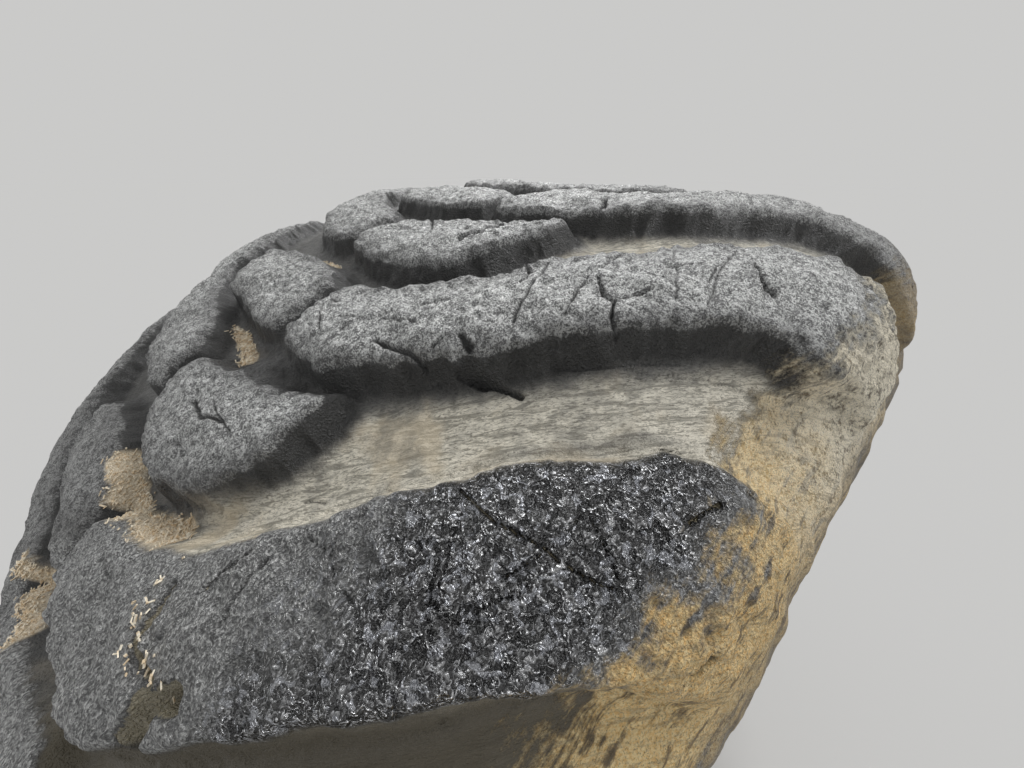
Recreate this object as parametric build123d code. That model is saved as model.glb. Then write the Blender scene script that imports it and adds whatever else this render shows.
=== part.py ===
from build123d import *
import math
import os

# Forestry forwarder wheel with its hub, in millimetres.
# Origin: centre of the fixed spindle flange's mounting face.
# +Y points outboard along the axle, +Z up, +X to the vehicle's front.

# Tyre, size 710/45-26.5. Widths are measured from the tyre's own centre plane.
tyre_plane = 385.0
tip_radius = 672.0
floor_radius = 643.0
tread_half = 356.7
shoulder_start = 250.0
sidewall_half = 357.0
sidewall_top = 545.0
sidewall_foot = 425.0
bead_width = 42.0
liner_radius = 592.0
liner_half = 292.0
liner_foot = 402.0
carcass_sides = 40
crown_mid_radius = 500.0
split_middle = 40.0
split_width = 9.0
crown_side_power = 5.37
crown_edge_power = 2.7

# Tread: rows of lugs, every other row swept to the other shoulder.
pitches = 20
row_half_angle = 3.25
lug_root = 14.0
lug_draft = 9.0

# Half of each row is a swept lug, from the crown's split groove out to its shoulder.
# Columns: front edge y, front angle, back edge y, back angle.
lug_stations = [
    (split_middle + split_width / 2, row_half_angle, split_middle + split_width / 2, -row_half_angle),
    (162.0, row_half_angle, 119.0, -row_half_angle),
    (272.0, -9.9, 216.0, -13.2),
    (350.0, -16.4, 350.0, -23.6),
]
# The row's other half is a free block. Columns as above.
block_stations = [
    (-105.0, row_half_angle, -150.0, -row_half_angle),
    (split_middle - split_width / 2, row_half_angle, split_middle - split_width / 2, -row_half_angle),
]

# Rim, 24 in wide on a 26.5 in bead seat.
seat_radius = 336.6
rim_half = 304.8
flange_radius = 364.0
flange_thick = 10.0
rim_thick = 10.0
well_radius = 283.0
seat_width = 42.0
flange_clear = 10.0
well_start = -235.0
well_end = -60.0

# Wheel disc and its fixing to the hub.
hub_face = 220.0
disc_thick = 18.0
wheel_pcd = 425.0
wheel_nut_count = 12
nut_flats = 34.0
nut_height = 30.0

# Fixed spindle.
spindle_flange_radius = 210.0
spindle_flange_thick = 30.0
bogie_pcd = 350.0
bogie_hole_count = 10
bogie_hole = 11.0
journal_radius = 100.0
end_gap = 6.0
drive_bore = 45.0

# Turning hub.
running_gap = 0.3
seat_gap = 0.3
collar_start = 38.0
collar_radius = 172.0
hub_flange_radius = 242.0
hub_flange_thick = 28.0
pilot_radius = 185.2
pilot_end = 250.0
gear_case_radius = 178.0
gear_case_end = 352.0
cover_thick = 22.0
cover_boss_radius = 70.0
cover_boss = 14.0
cover_pcd = 328.0
cover_bolt_count = 16
cover_bolt_flats = 19.0
cover_bolt_head = 8.0
plug_flats = 27.0
plug_height = 10.0
plug_pcd = 210.0
plug_count = 2

# Valve, through the well's outboard wall.
valve_radius = 8.0
valve_base = 12.0
valve_length = 84.0

os.makedirs("parts", exist_ok=True)


def save(shape, node):
    export_step(shape, f"parts/{node}.step")


def turned(outline):
    """A ring turned about the axle from (y, radius) corners."""
    with BuildPart() as ring:
        with BuildSketch(Plane.XY):
            with BuildLine():
                Polyline(*[(radius, y) for y, radius in outline], close=True)
            make_face()
        revolve(axis=Axis.Y)
    return ring.part


def about_axle(shape, count, first=0.0):
    """Copies of one shape, evenly spaced round the axle."""
    return [shape.rotate(Axis.Y, first + 360.0 * k / count) for k in range(count)]


def rod(radius, start, length, distance=0.0):
    """A round bar along the axle's direction, at a distance above it."""
    bar = Cylinder(radius, length, align=(Align.CENTER, Align.CENTER, Align.MIN))
    return bar.rotate(Axis.X, -90).translate((0, start, distance))


def hexagon(flats, start, length, distance=0.0):
    """A hexagon bar along the axle's direction, at a distance above it."""
    face = RegularPolygon(flats / 2, 6, major_radius=False)
    bar = extrude(face, length)
    return bar.rotate(Axis.X, -90).translate((0, start, distance))


def tip_at(y):
    """Radius of the lug tips at a distance from the tyre plane."""
    side = 1 - (min(abs(y), tread_half) / tread_half) ** crown_side_power
    return crown_mid_radius + (tip_radius - crown_mid_radius) * side ** (1 / crown_edge_power)


def floor_at(y):
    """Radius of the groove floor at a distance from the tyre plane."""
    if abs(y) < shoulder_start:
        return floor_radius
    fall = (floor_radius - sidewall_top) / (sidewall_half - shoulder_start)
    return floor_radius - (abs(y) - shoulder_start) * fall


def polar(y, radius, angle):
    turn = math.radians(angle)
    return Vector(radius * math.sin(turn), y, radius * math.cos(turn))


def facet(points):
    return Face(Wire.make_polygon(points, close=True))


def many_sided(stations, sides):
    """A closed body with flat sides, turned about the axle from (y, radius) stations."""
    half = 180.0 / sides
    rings = [[polar(y, radius, half * (2 * k + 1)) for k in range(sides)] for y, radius in stations]
    faces = [facet(rings[0]), facet(rings[-1])]
    for near, far in zip(rings, rings[1:]):
        for k in range(sides):
            j = (k + 1) % sides
            faces.append(facet([near[k], near[j], far[j], far[k]]))
    return Solid(Shell(faces))


def lug(stations, side, ends):
    """One lug, with drafted walls that run down into the carcass."""
    top = []
    foot = []
    spread = math.degrees(lug_draft / tip_radius)
    for (front_y, front_angle, back_y, back_angle), end in zip(stations, ends):
        pair = []
        feet = []
        for y, angle, way in ((front_y, front_angle, 1), (back_y, back_angle, -1)):
            foot_y = y + end
            pair.append(polar(side * y, tip_at(y), angle))
            feet.append(polar(side * foot_y, floor_at(foot_y) - lug_root, angle + way * spread))
        top.append(pair)
        foot.append(feet)
    loop_top = [p[0] for p in top] + [p[1] for p in reversed(top)]
    loop_foot = [p[0] for p in foot] + [p[1] for p in reversed(foot)]
    faces = []
    for rows in (top, foot):
        for (a, b), (c, d) in zip(rows, rows[1:]):
            faces.append(facet([a, b, c]))
            faces.append(facet([b, d, c]))
    for i, upper in enumerate(loop_top):
        j = (i + 1) % len(loop_top)
        faces.append(facet([upper, loop_top[j], loop_foot[i]]))
        faces.append(facet([loop_top[j], loop_foot[j], loop_foot[i]]))
    return Solid(Shell(faces))


# Tyre: the hollow carcass, with twenty pairs of swept lugs moulded onto it.
bore = seat_radius + seat_gap
bead_half = rim_half - seat_gap
bead_top = flange_radius + flange_clear
half_section = [
    (shoulder_start, floor_radius),
    (sidewall_half, sidewall_top),
    (sidewall_half, sidewall_foot),
    (bead_half, bead_top),
]
section = [(-y, radius) for y, radius in reversed(half_section)] + half_section
carcass = many_sided(section, carcass_sides)
flat_share = math.cos(math.radians(180.0 / carcass_sides))
half_hollow = [
    (liner_half, liner_radius),
    (liner_half, liner_foot),
    (bead_half - bead_width, liner_foot),
    (bead_half - bead_width, bore / flat_share),
    (bead_half + 1, bore / flat_share),
]
hollow = many_sided([(-y, radius) for y, radius in reversed(half_hollow)] + half_hollow, carcass_sides)
row = 360.0 / pitches / 2
lugs = []
for side, first in ((1, row), (-1, 0.0)):
    swept = lug(lug_stations, side, (0.0, 0.0, 0.0, -lug_draft / 3))
    block = lug(block_stations, side, (-lug_draft, 0.0))
    lugs += about_axle(swept, pitches, first) + about_axle(block, pitches, first)
tyre = carcass.fuse(*lugs).cut(hollow)
save(tyre.solid().translate((0, tyre_plane, 0)), "tyre")

# Rim: one rolled section with a drop-centre well between its two bead flanges.
edge = rim_half + flange_thick
seat_bottom = seat_radius - rim_thick
well_bottom = well_radius - rim_thick
rim = turned(
    [
        (-edge, flange_radius),
        (-rim_half, flange_radius),
        (-rim_half, seat_radius),
        (well_start, seat_radius),
        (well_start, well_radius),
        (well_end, well_radius),
        (well_end, seat_radius),
        (rim_half, seat_radius),
        (rim_half, flange_radius),
        (edge, flange_radius),
        (edge, seat_bottom),
        (well_end + rim_thick, seat_bottom),
        (well_end + rim_thick, well_bottom),
        (well_start - rim_thick, well_bottom),
        (well_start - rim_thick, seat_bottom),
        (-edge, seat_bottom),
    ]
)
valve_start = well_end - valve_base
valve_ring_radius = (well_bottom + seat_radius) / 2
valve_hole = rod(valve_radius + seat_gap, valve_start, valve_length, valve_ring_radius)
rim = rim.cut(valve_hole)
save(rim.solid().translate((0, tyre_plane, 0)), "rim")

# Wheel disc: a flat plate ring welded into the rim's well.
disc_bore = pilot_radius + seat_gap
disc_outer = well_bottom - seat_gap
disc_end = hub_face + disc_thick
disc = turned([(hub_face, disc_bore), (hub_face, disc_outer), (disc_end, disc_outer), (disc_end, disc_bore)])
save(disc.solid(), "wheel_disc")

# Stub axle: the fixed flange and the hollow spindle that the hub turns on.
journal_end = pilot_end - end_gap
spindle = turned(
    [
        (0.0, drive_bore),
        (0.0, spindle_flange_radius),
        (spindle_flange_thick, spindle_flange_radius),
        (spindle_flange_thick, journal_radius),
        (journal_end, journal_radius),
        (journal_end, drive_bore),
    ]
)
holes = about_axle(rod(bogie_hole, -1, spindle_flange_thick + 2, bogie_pcd / 2), bogie_hole_count)
save(spindle.cut(*holes).solid(), "stub_axle")

# Hub housing: a barrel that turns on the spindle, with the wheel flange and the disc's pilot.
hub_back = hub_face - hub_flange_thick
seat_bore = journal_radius + running_gap
housing = turned(
    [
        (collar_start, seat_bore),
        (collar_start, collar_radius),
        (hub_back, collar_radius),
        (hub_back, hub_flange_radius),
        (hub_face, hub_flange_radius),
        (hub_face, pilot_radius),
        (pilot_end, pilot_radius),
        (pilot_end, seat_bore),
    ]
)
save(housing.solid(), "hub_housing")

# Gear case: the drum round the wheel's reduction gears, kept whole because it is closed.
gear_case = rod(gear_case_radius, pilot_end, gear_case_end - pilot_end)
save(gear_case.solid(), "gear_case")
cover_face = gear_case_end + cover_thick
cover = turned(
    [
        (gear_case_end, 0.0),
        (gear_case_end, gear_case_radius),
        (cover_face, gear_case_radius),
        (cover_face, cover_boss_radius),
        (cover_face + cover_boss, cover_boss_radius),
        (cover_face + cover_boss, 0.0),
    ]
)
save(cover.solid(), "hub_cover")
heads = about_axle(hexagon(cover_bolt_flats, cover_face, cover_bolt_head, cover_pcd / 2), cover_bolt_count)
save(Compound(children=[head.solid() for head in heads]), "cover_bolts")
plugs = about_axle(hexagon(plug_flats, cover_face, plug_height, plug_pcd / 2), plug_count)
save(Compound(children=[plug.solid() for plug in plugs]), "oil_plugs")

# Wheel nuts: tall hexagons on the disc's outboard face.
nuts = about_axle(hexagon(nut_flats, disc_end, nut_height, wheel_pcd / 2), wheel_nut_count)
save(Compound(children=[nut.solid() for nut in nuts]), "wheel_nuts")

# Valve: a straight stem through the wall of the rim's well.
stem = rod(valve_radius, tyre_plane + valve_start, valve_length, valve_ring_radius)
save(stem.solid(), "valve_stem")
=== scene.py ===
import bmesh
import bpy
import math
import numpy as np
from mathutils import Matrix, Vector


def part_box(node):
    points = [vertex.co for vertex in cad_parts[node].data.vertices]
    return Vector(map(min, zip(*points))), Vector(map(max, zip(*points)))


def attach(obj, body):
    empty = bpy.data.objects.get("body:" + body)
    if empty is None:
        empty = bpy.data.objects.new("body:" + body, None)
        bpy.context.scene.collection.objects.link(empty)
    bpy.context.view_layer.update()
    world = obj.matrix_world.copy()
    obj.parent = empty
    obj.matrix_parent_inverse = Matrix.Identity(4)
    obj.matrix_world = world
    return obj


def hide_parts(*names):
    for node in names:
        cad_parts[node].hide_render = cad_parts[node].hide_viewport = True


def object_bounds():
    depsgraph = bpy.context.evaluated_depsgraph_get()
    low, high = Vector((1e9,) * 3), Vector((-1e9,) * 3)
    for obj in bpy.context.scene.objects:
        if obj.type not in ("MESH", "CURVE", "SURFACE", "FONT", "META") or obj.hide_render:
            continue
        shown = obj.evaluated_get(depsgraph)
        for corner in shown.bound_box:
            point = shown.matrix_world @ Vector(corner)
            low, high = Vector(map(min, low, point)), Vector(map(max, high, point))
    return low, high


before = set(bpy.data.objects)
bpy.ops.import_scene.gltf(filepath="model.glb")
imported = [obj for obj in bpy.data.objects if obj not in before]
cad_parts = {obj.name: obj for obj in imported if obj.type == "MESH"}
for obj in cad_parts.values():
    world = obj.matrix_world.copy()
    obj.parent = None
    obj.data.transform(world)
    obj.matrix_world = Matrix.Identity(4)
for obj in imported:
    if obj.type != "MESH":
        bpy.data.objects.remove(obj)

cad_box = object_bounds()


# Camera: held just above the tread at the wheel's front, looking back and down across the tyre.
# A very wide lens, so the nearest lug fills the lower half of the picture.
def placed(name, data):
    """A new object in the scene."""
    piece = bpy.data.objects.new(name, data)
    bpy.context.scene.collection.objects.link(piece)
    return piece


tyre_plane = 0.385
eye = Vector((0.3755, tyre_plane + 0.3372, 0.681))
view_yaw = 0.819
view_pitch = 0.5129
view_roll = 0.00835
focal_share = 380.0 / 1024.0

ahead = Vector((
    -math.cos(view_pitch) * math.cos(view_yaw),
    -math.cos(view_pitch) * math.sin(view_yaw),
    -math.sin(view_pitch),
))
right = ahead.cross(Vector((0, 0, 1))).normalized()
up = right.cross(ahead)
turned_right = right * math.cos(view_roll) + up * math.sin(view_roll)
turned_up = up * math.cos(view_roll) - right * math.sin(view_roll)
camera = placed("camera", bpy.data.cameras.new("camera"))
camera.data.sensor_width = 36.0
camera.data.lens = camera.data.sensor_width * focal_share
camera.data.clip_start = 0.005
camera.matrix_world = Matrix((
    (turned_right.x, turned_up.x, -ahead.x, eye.x),
    (turned_right.y, turned_up.y, -ahead.y, eye.y),
    (turned_right.z, turned_up.z, -ahead.z, eye.z),
    (0, 0, 0, 1),
))
bpy.context.scene.camera = camera


# Stub axle: the fixed spindle and its bolting flange, turned from forged steel and left bare.
# Its faces keep fine turning marks under oil stains and patches of light rust.
class Link:
    """A shader socket that sums, products, powers and blends can be written with."""

    def __init__(self, tree, socket):
        self.tree = tree
        self.socket = socket

    def node(self, kind, inputs, output=0, **settings):
        """Any other node, fed by named or numbered inputs, as a link from one of its outputs."""
        made = self.tree.nodes.new(kind)
        for key, value in settings.items():
            setattr(made, key, value)
        for key, value in dict(inputs).items():
            if isinstance(value, Link):
                self.tree.links.new(value.socket, made.inputs[key])
            else:
                made.inputs[key].default_value = value
        return Link(self.tree, made.outputs[output])

    def maths(self, operation, *values):
        return self.node("ShaderNodeMath", enumerate(values), operation=operation)

    def __add__(self, other):
        return self.maths("ADD", self, other)

    def __sub__(self, other):
        return self.maths("SUBTRACT", self, other)

    def __rsub__(self, other):
        return self.maths("SUBTRACT", other, self)

    def __mul__(self, other):
        return self.maths("MULTIPLY", self, other)

    def __pow__(self, other):
        return self.maths("POWER", self, other)

    __radd__ = __add__
    __rmul__ = __mul__

    def between(self, low, high):
        """0 below low, 1 above high, and a smooth rise between them."""
        ends = {"Value": self, "From Min": low, "From Max": high}
        return self.node("ShaderNodeMapRange", ends, interpolation_type="SMOOTHSTEP")

    def blend(self, low, high):
        """One colour where this is 0, another where it is 1. Each is a link or three numbers."""
        low, high = (tone if isinstance(tone, Link) else (*tone, 1) for tone in (low, high))
        return self.node("ShaderNodeMix", {0: self, 6: low, 7: high}, output=2, data_type="RGBA")

    def stretched(self, x, y, z):
        return self.node("ShaderNodeVectorMath", {0: self, 1: (x, y, z)}, operation="MULTIPLY")

    def noise(self, size, detail=2.0, rough=0.5, bend=0.0):
        """Noise from 0 to 1 with lumps of a size in metres."""
        inputs = {0: self, "Scale": 1 / size, "Detail": detail, "Roughness": rough, "Distortion": bend}
        return self.node("ShaderNodeTexNoise", inputs)


def started(name):
    """A new material: it, a link from a surface point's place in metres, and its shader."""
    made = bpy.data.materials.new(name)
    made.use_nodes = True
    tree = made.node_tree
    place = Link(tree, tree.nodes.new("ShaderNodeTexCoord").outputs["Object"])
    return made, place, tree.nodes["Principled BSDF"]


def feed(shader, **links):
    """Feeds the shader's inputs. A height in metres makes its bump."""
    for key, link in links.items():
        if key == "height":
            link = link.node("ShaderNodeBump", {"Height": link, "Distance": 1.0, "Strength": 1.0})
            key = "Normal"
        link.tree.links.new(link.socket, shader.inputs[key.replace("_", " ")])


steel, place, shader = started("machined_steel")
sideways = place.node("ShaderNodeSeparateXYZ", {0: place})
upward = place.node("ShaderNodeSeparateXYZ", {0: place}, output=2)
from_axle = (sideways ** 2.0 + upward ** 2.0) ** 0.5
marks = place.node("ShaderNodeCombineXYZ", {0: from_axle}).noise(0.0013, 2.0, 0.7)
stains = place.noise(0.06, 5.0, 0.6)
rust = (0.5 * stains + 0.5 * place.noise(0.004, 3.0, 0.6)).between(0.49, 0.68)
tint = marks.between(0.3, 0.7).blend((0.15, 0.147, 0.14), (0.27, 0.264, 0.252))
tint = (1 - stains.between(0.3, 0.62)).blend(tint, (0.1, 0.09, 0.076))
tint = rust.blend(tint, (0.12, 0.058, 0.03))
feed(
    shader, Base_Color=tint, Metallic=1 - 0.9 * rust, Roughness=0.32 + 0.14 * stains + 0.4 * rust,
    height=0.00005 * marks + 0.0003 * rust,
)
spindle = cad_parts["stub_axle"]
for slot in spindle.material_slots:
    slot.material = steel
edges = spindle.modifiers.new("worn_edges", "BEVEL")
edges.width = 0.0012
edges.segments = 2
edges.limit_method = "ANGLE"
edges.angle_limit = math.radians(50)
edges.harden_normals = True


# Hub housing: the cast-iron barrel that turns on the spindle, with the wheel flange and its studs' heads.
# Thick anthracite machine paint covers it, dusty, splashed with mud and chipped to rusty iron.
def rounded(corners):
    """A closed outline from (y, radius, rounding) corners."""
    line = []
    for k, (y, r, size) in enumerate(corners):
        here = np.array((y, r))
        before = np.array(corners[k - 1][:2]) - here
        after = np.array(corners[(k + 1) % len(corners)][:2]) - here
        if size == 0:
            line.append(here)
            continue
        start = here + before * min(0.45, size / np.linalg.norm(before))
        end = here + after * min(0.45, size / np.linalg.norm(after))
        for share in (0, 0.25, 0.5, 0.75, 1):
            line.append(start * (1 - share) ** 2 + 2 * here * share * (1 - share) + end * share ** 2)
    return line


def turned(outline, segments, centre=(0.0, 0.0), rise=None):
    """Points and faces of a ring turned from a closed outline about a line along the axle's direction."""
    count = len(outline)
    points = []
    faces = []
    for k in range(segments):
        angle = 2 * math.pi * k / segments
        after = (k + 1) % segments
        for j, (y, r) in enumerate(outline):
            r = r + (rise(k) if rise else 0)
            points.append((centre[0] + r * math.sin(angle), y, centre[1] + r * math.cos(angle)))
            i = (j + 1) % count
            faces.append((k * count + j, k * count + i, after * count + i, after * count + j))
    return points, faces


def joined(shapes):
    """Several sets of points and faces as one."""
    points, faces = [], []
    for some_points, some_faces in shapes:
        base = len(points)
        points += some_points
        faces += [tuple(base + i for i in face) for face in some_faces]
    return points, faces


def piece_from(name, shape, finish, slot_name, *nodes):
    """A new piece on the wheel, in the place of some CAD nodes or beside them."""
    points, faces = shape
    mesh = bpy.data.meshes.new(name)
    mesh.from_pydata([tuple(float(v) for v in p) for p in points], [], faces)
    cleaned = bmesh.new()
    cleaned.from_mesh(mesh)
    bmesh.ops.remove_doubles(cleaned, verts=cleaned.verts, dist=1e-6)
    bmesh.ops.recalc_face_normals(cleaned, faces=cleaned.faces)
    cleaned.to_mesh(mesh)
    cleaned.free()
    mesh.shade_smooth()
    mesh.set_sharp_from_angle(angle=math.radians(35))
    mesh.materials.append(finish)
    piece = placed(name, mesh)
    piece.modifiers.new("flat_faces", "WEIGHTED_NORMAL").keep_sharp = True
    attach(piece, "wheel")
    if nodes:
        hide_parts(*nodes)
    return piece


def ring_places(count, radius):
    """Places round the axle as (x, z), the first at the top."""
    turns = [2 * math.pi * k / count for k in range(count)]
    return [(radius * math.sin(turn), radius * math.cos(turn)) for turn in turns]


hub_paint, place, shader = started("hub_paint")
specks = place.noise(0.0035, 4.0, 0.6)
sand = place.noise(0.0014, 2.0, 0.5)
dust = place.noise(0.09, 5.0, 0.6)
chips = (0.65 * place.noise(0.028, 3.0, 0.6) + 0.35 * specks).between(0.58, 0.592)
splash = (0.6 * dust + 0.4 * specks).between(0.55, 0.62)
tint = dust.between(0.35, 0.65).blend((0.026, 0.028, 0.031), (0.085, 0.082, 0.076))
tint = splash.blend(tint, (0.26, 0.195, 0.115))
tint = chips.blend(tint, (0.12, 0.048, 0.022))
feed(
    shader, Base_Color=tint, Roughness=0.36 + 0.18 * dust + 0.35 * splash + 0.3 * chips,
    height=0.0003 * sand + 0.0007 * splash - 0.0004 * chips,
)
housing_low, housing_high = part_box("hub_housing")
barrel_radius = 0.172
wheel_flange = (0.192, 0.22)
pilot_radius = 0.1852
spindle_gap = 0.1003
housing = rounded((
    (housing_low[1], spindle_gap, 0.001), (housing_low[1], barrel_radius, 0.006),
    (wheel_flange[0], barrel_radius, 0.014), (wheel_flange[0], housing_high[0], 0.006),
    (wheel_flange[1], housing_high[0], 0.002), (wheel_flange[1], pilot_radius, 0.001),
    (housing_high[1], pilot_radius, 0.003), (housing_high[1], spindle_gap, 0.001),
))
stud_circle = 0.2125
stud_places = ring_places(12, stud_circle)
stud_radius = 0.0165
stud_top, stud_foot = wheel_flange[0] - 0.009, wheel_flange[0] + 0.001
stud_head = rounded((
    (stud_foot, 0, 0), (stud_top, 0, 0), (stud_top, stud_radius, 0.003), (stud_foot, stud_radius, 0),
))
stud_heads = [turned(stud_head, 40, spot) for spot in stud_places]
piece_from("housing", joined([turned(housing, 180)] + stud_heads), hub_paint, "hub_paint", "hub_housing")


# Gear case and hub cover: a cast drum round the reduction gears, and its lid with a central boss.
# Both are in the hub's paint, and sealant has squeezed out of their seams in a thin dark bead.
def round_bar(y, r, size):
    """The outline of a round bar bent into a ring."""
    steps = [2 * math.pi * k / 12 for k in range(12)]
    return [(y + size * math.cos(step), r + size * math.sin(step)) for step in steps]


case_low, case_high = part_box("gear_case")
cover_low, cover_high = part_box("hub_cover")
boss_radius = 0.07
boss_rise = 0.014
cover_face = cover_high[1] - boss_rise
dish_radius = 0.15
dish_floor = cover_face - 0.0025
centre_radius = 0.022
centre_floor = cover_high[1] - 0.003
case = rounded((
    (case_low[1], 0, 0), (case_low[1], case_high[0], 0.004),
    (case_high[1], case_high[0], 0.0015), (case_high[1], 0, 0),
))
piece_from("drum", turned(case, 180), hub_paint, "hub_paint", "gear_case")
lid = rounded((
    (cover_low[1], 0, 0), (cover_low[1], cover_high[0], 0.0015), (cover_face, cover_high[0], 0.007),
    (cover_face, dish_radius, 0.001), (dish_floor, dish_radius - 0.0025, 0.001),
    (dish_floor, boss_radius + 0.008, 0.001), (cover_face, boss_radius, 0.004),
    (cover_high[1], boss_radius, 0.005), (cover_high[1], centre_radius, 0.001),
    (centre_floor, centre_radius - 0.002, 0.001), (centre_floor, 0, 0),
))
piece_from("lid", turned(lid, 180), hub_paint, "hub_paint", "hub_cover")
sealant, place, shader = started("sealant")
shader.inputs["Base Color"].default_value = (0.016, 0.016, 0.017, 1)
feed(shader, Roughness=0.42 + 0.25 * place.noise(0.004, 3.0), height=0.0004 * place.noise(0.003, 3.0))
seams = []
for y in (case_low[1], case_high[1]):
    bead = round_bar(y, case_high[0] - 0.0006, 0.0015)
    seams.append(turned(bead, 240, rise=lambda k: 0.0002 * math.sin(0.7 * k) + 0.0002 * math.sin(1.9 * k)))
piece_from("sealant_beads", joined(seams), sealant, "hub_paint")


# Cover bolts and oil plugs: zinc-plated hexagons, the bolts on washers and the plugs on copper rings.
# Their plating is dulled, with rust starting in the corners.
def hexagon(flats, start, end, centre, foot_cut=False):
    """A hexagon with a turned chamfer on its outer end, and on its foot if asked."""
    steps = 72
    half = flats / 2
    inner = half * 0.95
    edge = []
    for k in range(steps):
        angle = (2 * math.pi * k / steps + math.pi / 6) % (math.pi / 3) - math.pi / 6
        edge.append(half / math.cos(angle))
    fall = [math.tan(math.radians(30)) * max(0, r - inner) for r in edge]
    rings = (
        [(start, inner)] * steps,
        [(start + (drop if foot_cut else 0), r) for drop, r in zip(fall, edge)],
        [(end - drop, r) for drop, r in zip(fall, edge)],
        [(end, inner)] * steps,
    )
    points = []
    for ring in rings:
        for k, (y, r) in enumerate(ring):
            angle = 2 * math.pi * k / steps
            points.append((centre[0] + r * math.sin(angle), y, centre[1] + r * math.cos(angle)))
    faces = [tuple(range(steps)), tuple(3 * steps + k for k in range(steps))]
    for k in range(steps):
        after = (k + 1) % steps
        faces += [(a + k, a + after, a + steps + after, a + steps + k) for a in (0, steps, 2 * steps)]
    return points, faces


def washer(centre, start, end, inside, outside):
    """A flat washer with eased edges."""
    ring = rounded((
        (start, inside, 0), (start, outside, 0.0003), (end, outside, 0.0006), (end, inside, 0.0003),
    ))
    return turned(ring, 48, centre)


plated, place, shader = started("plated_steel")
blooms = place.noise(0.01, 4.0, 0.6)
rust = blooms.between(0.54, 0.63)
tint = place.noise(0.004, 2.0).between(0.3, 0.7).blend((0.3, 0.29, 0.26), (0.48, 0.465, 0.42))
tint = rust.blend(tint, (0.19, 0.08, 0.032))
feed(
    shader, Base_Color=tint, Metallic=1 - 0.85 * rust, Roughness=0.34 + 0.35 * rust,
    height=0.0002 * blooms + 0.0002 * rust,
)
copper, place, shader = started("copper")
dull = place.noise(0.006, 4.0, 0.6)
tint = dull.between(0.35, 0.65).blend((0.52, 0.23, 0.12), (0.2, 0.11, 0.07))
shader.inputs["Metallic"].default_value = 1.0
feed(shader, Base_Color=tint, Roughness=0.3 + 0.25 * dull, height=0.0001 * dull)
bolt_circle = 0.164
bolt_flats = 0.019
bolt_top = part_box("cover_bolts")[1][1]
washer_top = cover_face + 0.0016
bolt_heads = []
for spot in ring_places(16, bolt_circle):
    bolt_heads.append(washer(spot, cover_face, washer_top, inside=0.006, outside=0.0122))
    bolt_heads.append(hexagon(bolt_flats, washer_top, bolt_top, spot))
piece_from("cover_bolt_heads", joined(bolt_heads), plated, "plated_steel", "cover_bolts")
plug_circle = 0.105
plug_flats = 0.027
plug_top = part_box("oil_plugs")[1][1]
copper_top = cover_face + 0.0012
plug_heads = []
plug_rings = []
for spot in ring_places(2, plug_circle):
    plug_rings.append(washer(spot, cover_face - 0.003, copper_top, inside=0.01, outside=0.0168))
    plug_heads.append(hexagon(plug_flats, copper_top, plug_top, spot))
piece_from("plug_heads", joined(plug_heads), plated, "plated_steel", "oil_plugs")
piece_from("plug_rings", joined(plug_rings), copper, "plated_steel")

# Rim: one rolled steel section with its drop-centre well, seats and flanges, whose lips end in a bead.
# Its anthracite paint is scratched by stones and caked with dried mud in the corners.
rim_paint, place, shader = started("rim_paint")
specks = place.noise(0.0032, 4.0, 0.6)
dirt = place.noise(0.11, 5.0, 0.62)
scrapes = place.stretched(1.0, 0.1, 1.0).noise(0.006, 4.0, 0.6)
chips = (0.5 * place.noise(0.02, 3.0) + 0.5 * scrapes).between(0.585, 0.6)
outward = place.node("ShaderNodeSeparateXYZ", {0: place}, output=1)
corner = (1 - outward.between(0.225, 0.35)) * (0.45 + 0.55 * outward.between(0.11, 0.2))
corner = corner + 0.6 * outward.between(0.56, 0.69)
caked = (0.34 * dirt + 0.3 * specks + 0.3 * scrapes + 0.3 * corner).between(0.46, 0.8)
dusty = (0.5 * dirt + 0.5 * specks).between(0.3, 0.68)
tint = dusty.blend((0.032, 0.034, 0.036), (0.105, 0.096, 0.078))
dried = specks.between(0.35, 0.65).blend((0.2, 0.15, 0.09), (0.35, 0.275, 0.18))
tint = caked.blend(tint, dried)
tint = chips.blend(tint, (0.14, 0.058, 0.026))
feed(
    shader, Base_Color=tint, Roughness=0.38 + 0.2 * dirt + 0.3 * caked + 0.25 * chips,
    height=0.0002 * specks + 0.001 * caked + 0.0006 * caked * specks - 0.0004 * chips,
)
rim_low, rim_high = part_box("rim")
flange_radius = rim_high[0]
seat_radius = 0.3366
well_radius = 0.283
sheet = 0.01
well_sides = (0.15, 0.325)
bead_faces = (0.0802, 0.6898)
under_seat = seat_radius - sheet
under_well = well_radius - sheet
rolled = rounded((
    (rim_low[1], flange_radius, 0.003), (bead_faces[0], flange_radius, 0.003),
    (bead_faces[0], seat_radius, 0.006), (well_sides[0], seat_radius, 0.012),
    (well_sides[0], well_radius, 0.012), (well_sides[1], well_radius, 0.012),
    (well_sides[1], seat_radius, 0.012), (bead_faces[1], seat_radius, 0.006),
    (bead_faces[1], flange_radius, 0.003), (rim_high[1], flange_radius, 0.003),
    (rim_high[1], under_seat, 0.01), (well_sides[1] + sheet, under_seat, 0.012),
    (well_sides[1] + sheet, under_well, 0.014), (well_sides[0] - sheet, under_well, 0.014),
    (well_sides[0] - sheet, under_seat, 0.012), (rim_low[1], under_seat, 0.01),
))
lips = []
for y, inward in ((rim_low[1], 1), (rim_high[1], -1)):
    lips.append(turned(round_bar(y + inward * 0.004, flange_radius - 0.006, 0.0058), 220))
piece_from("rolled_rim", joined([turned(rolled, 220)] + lips), rim_paint, "rim_paint", "rim")

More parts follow.
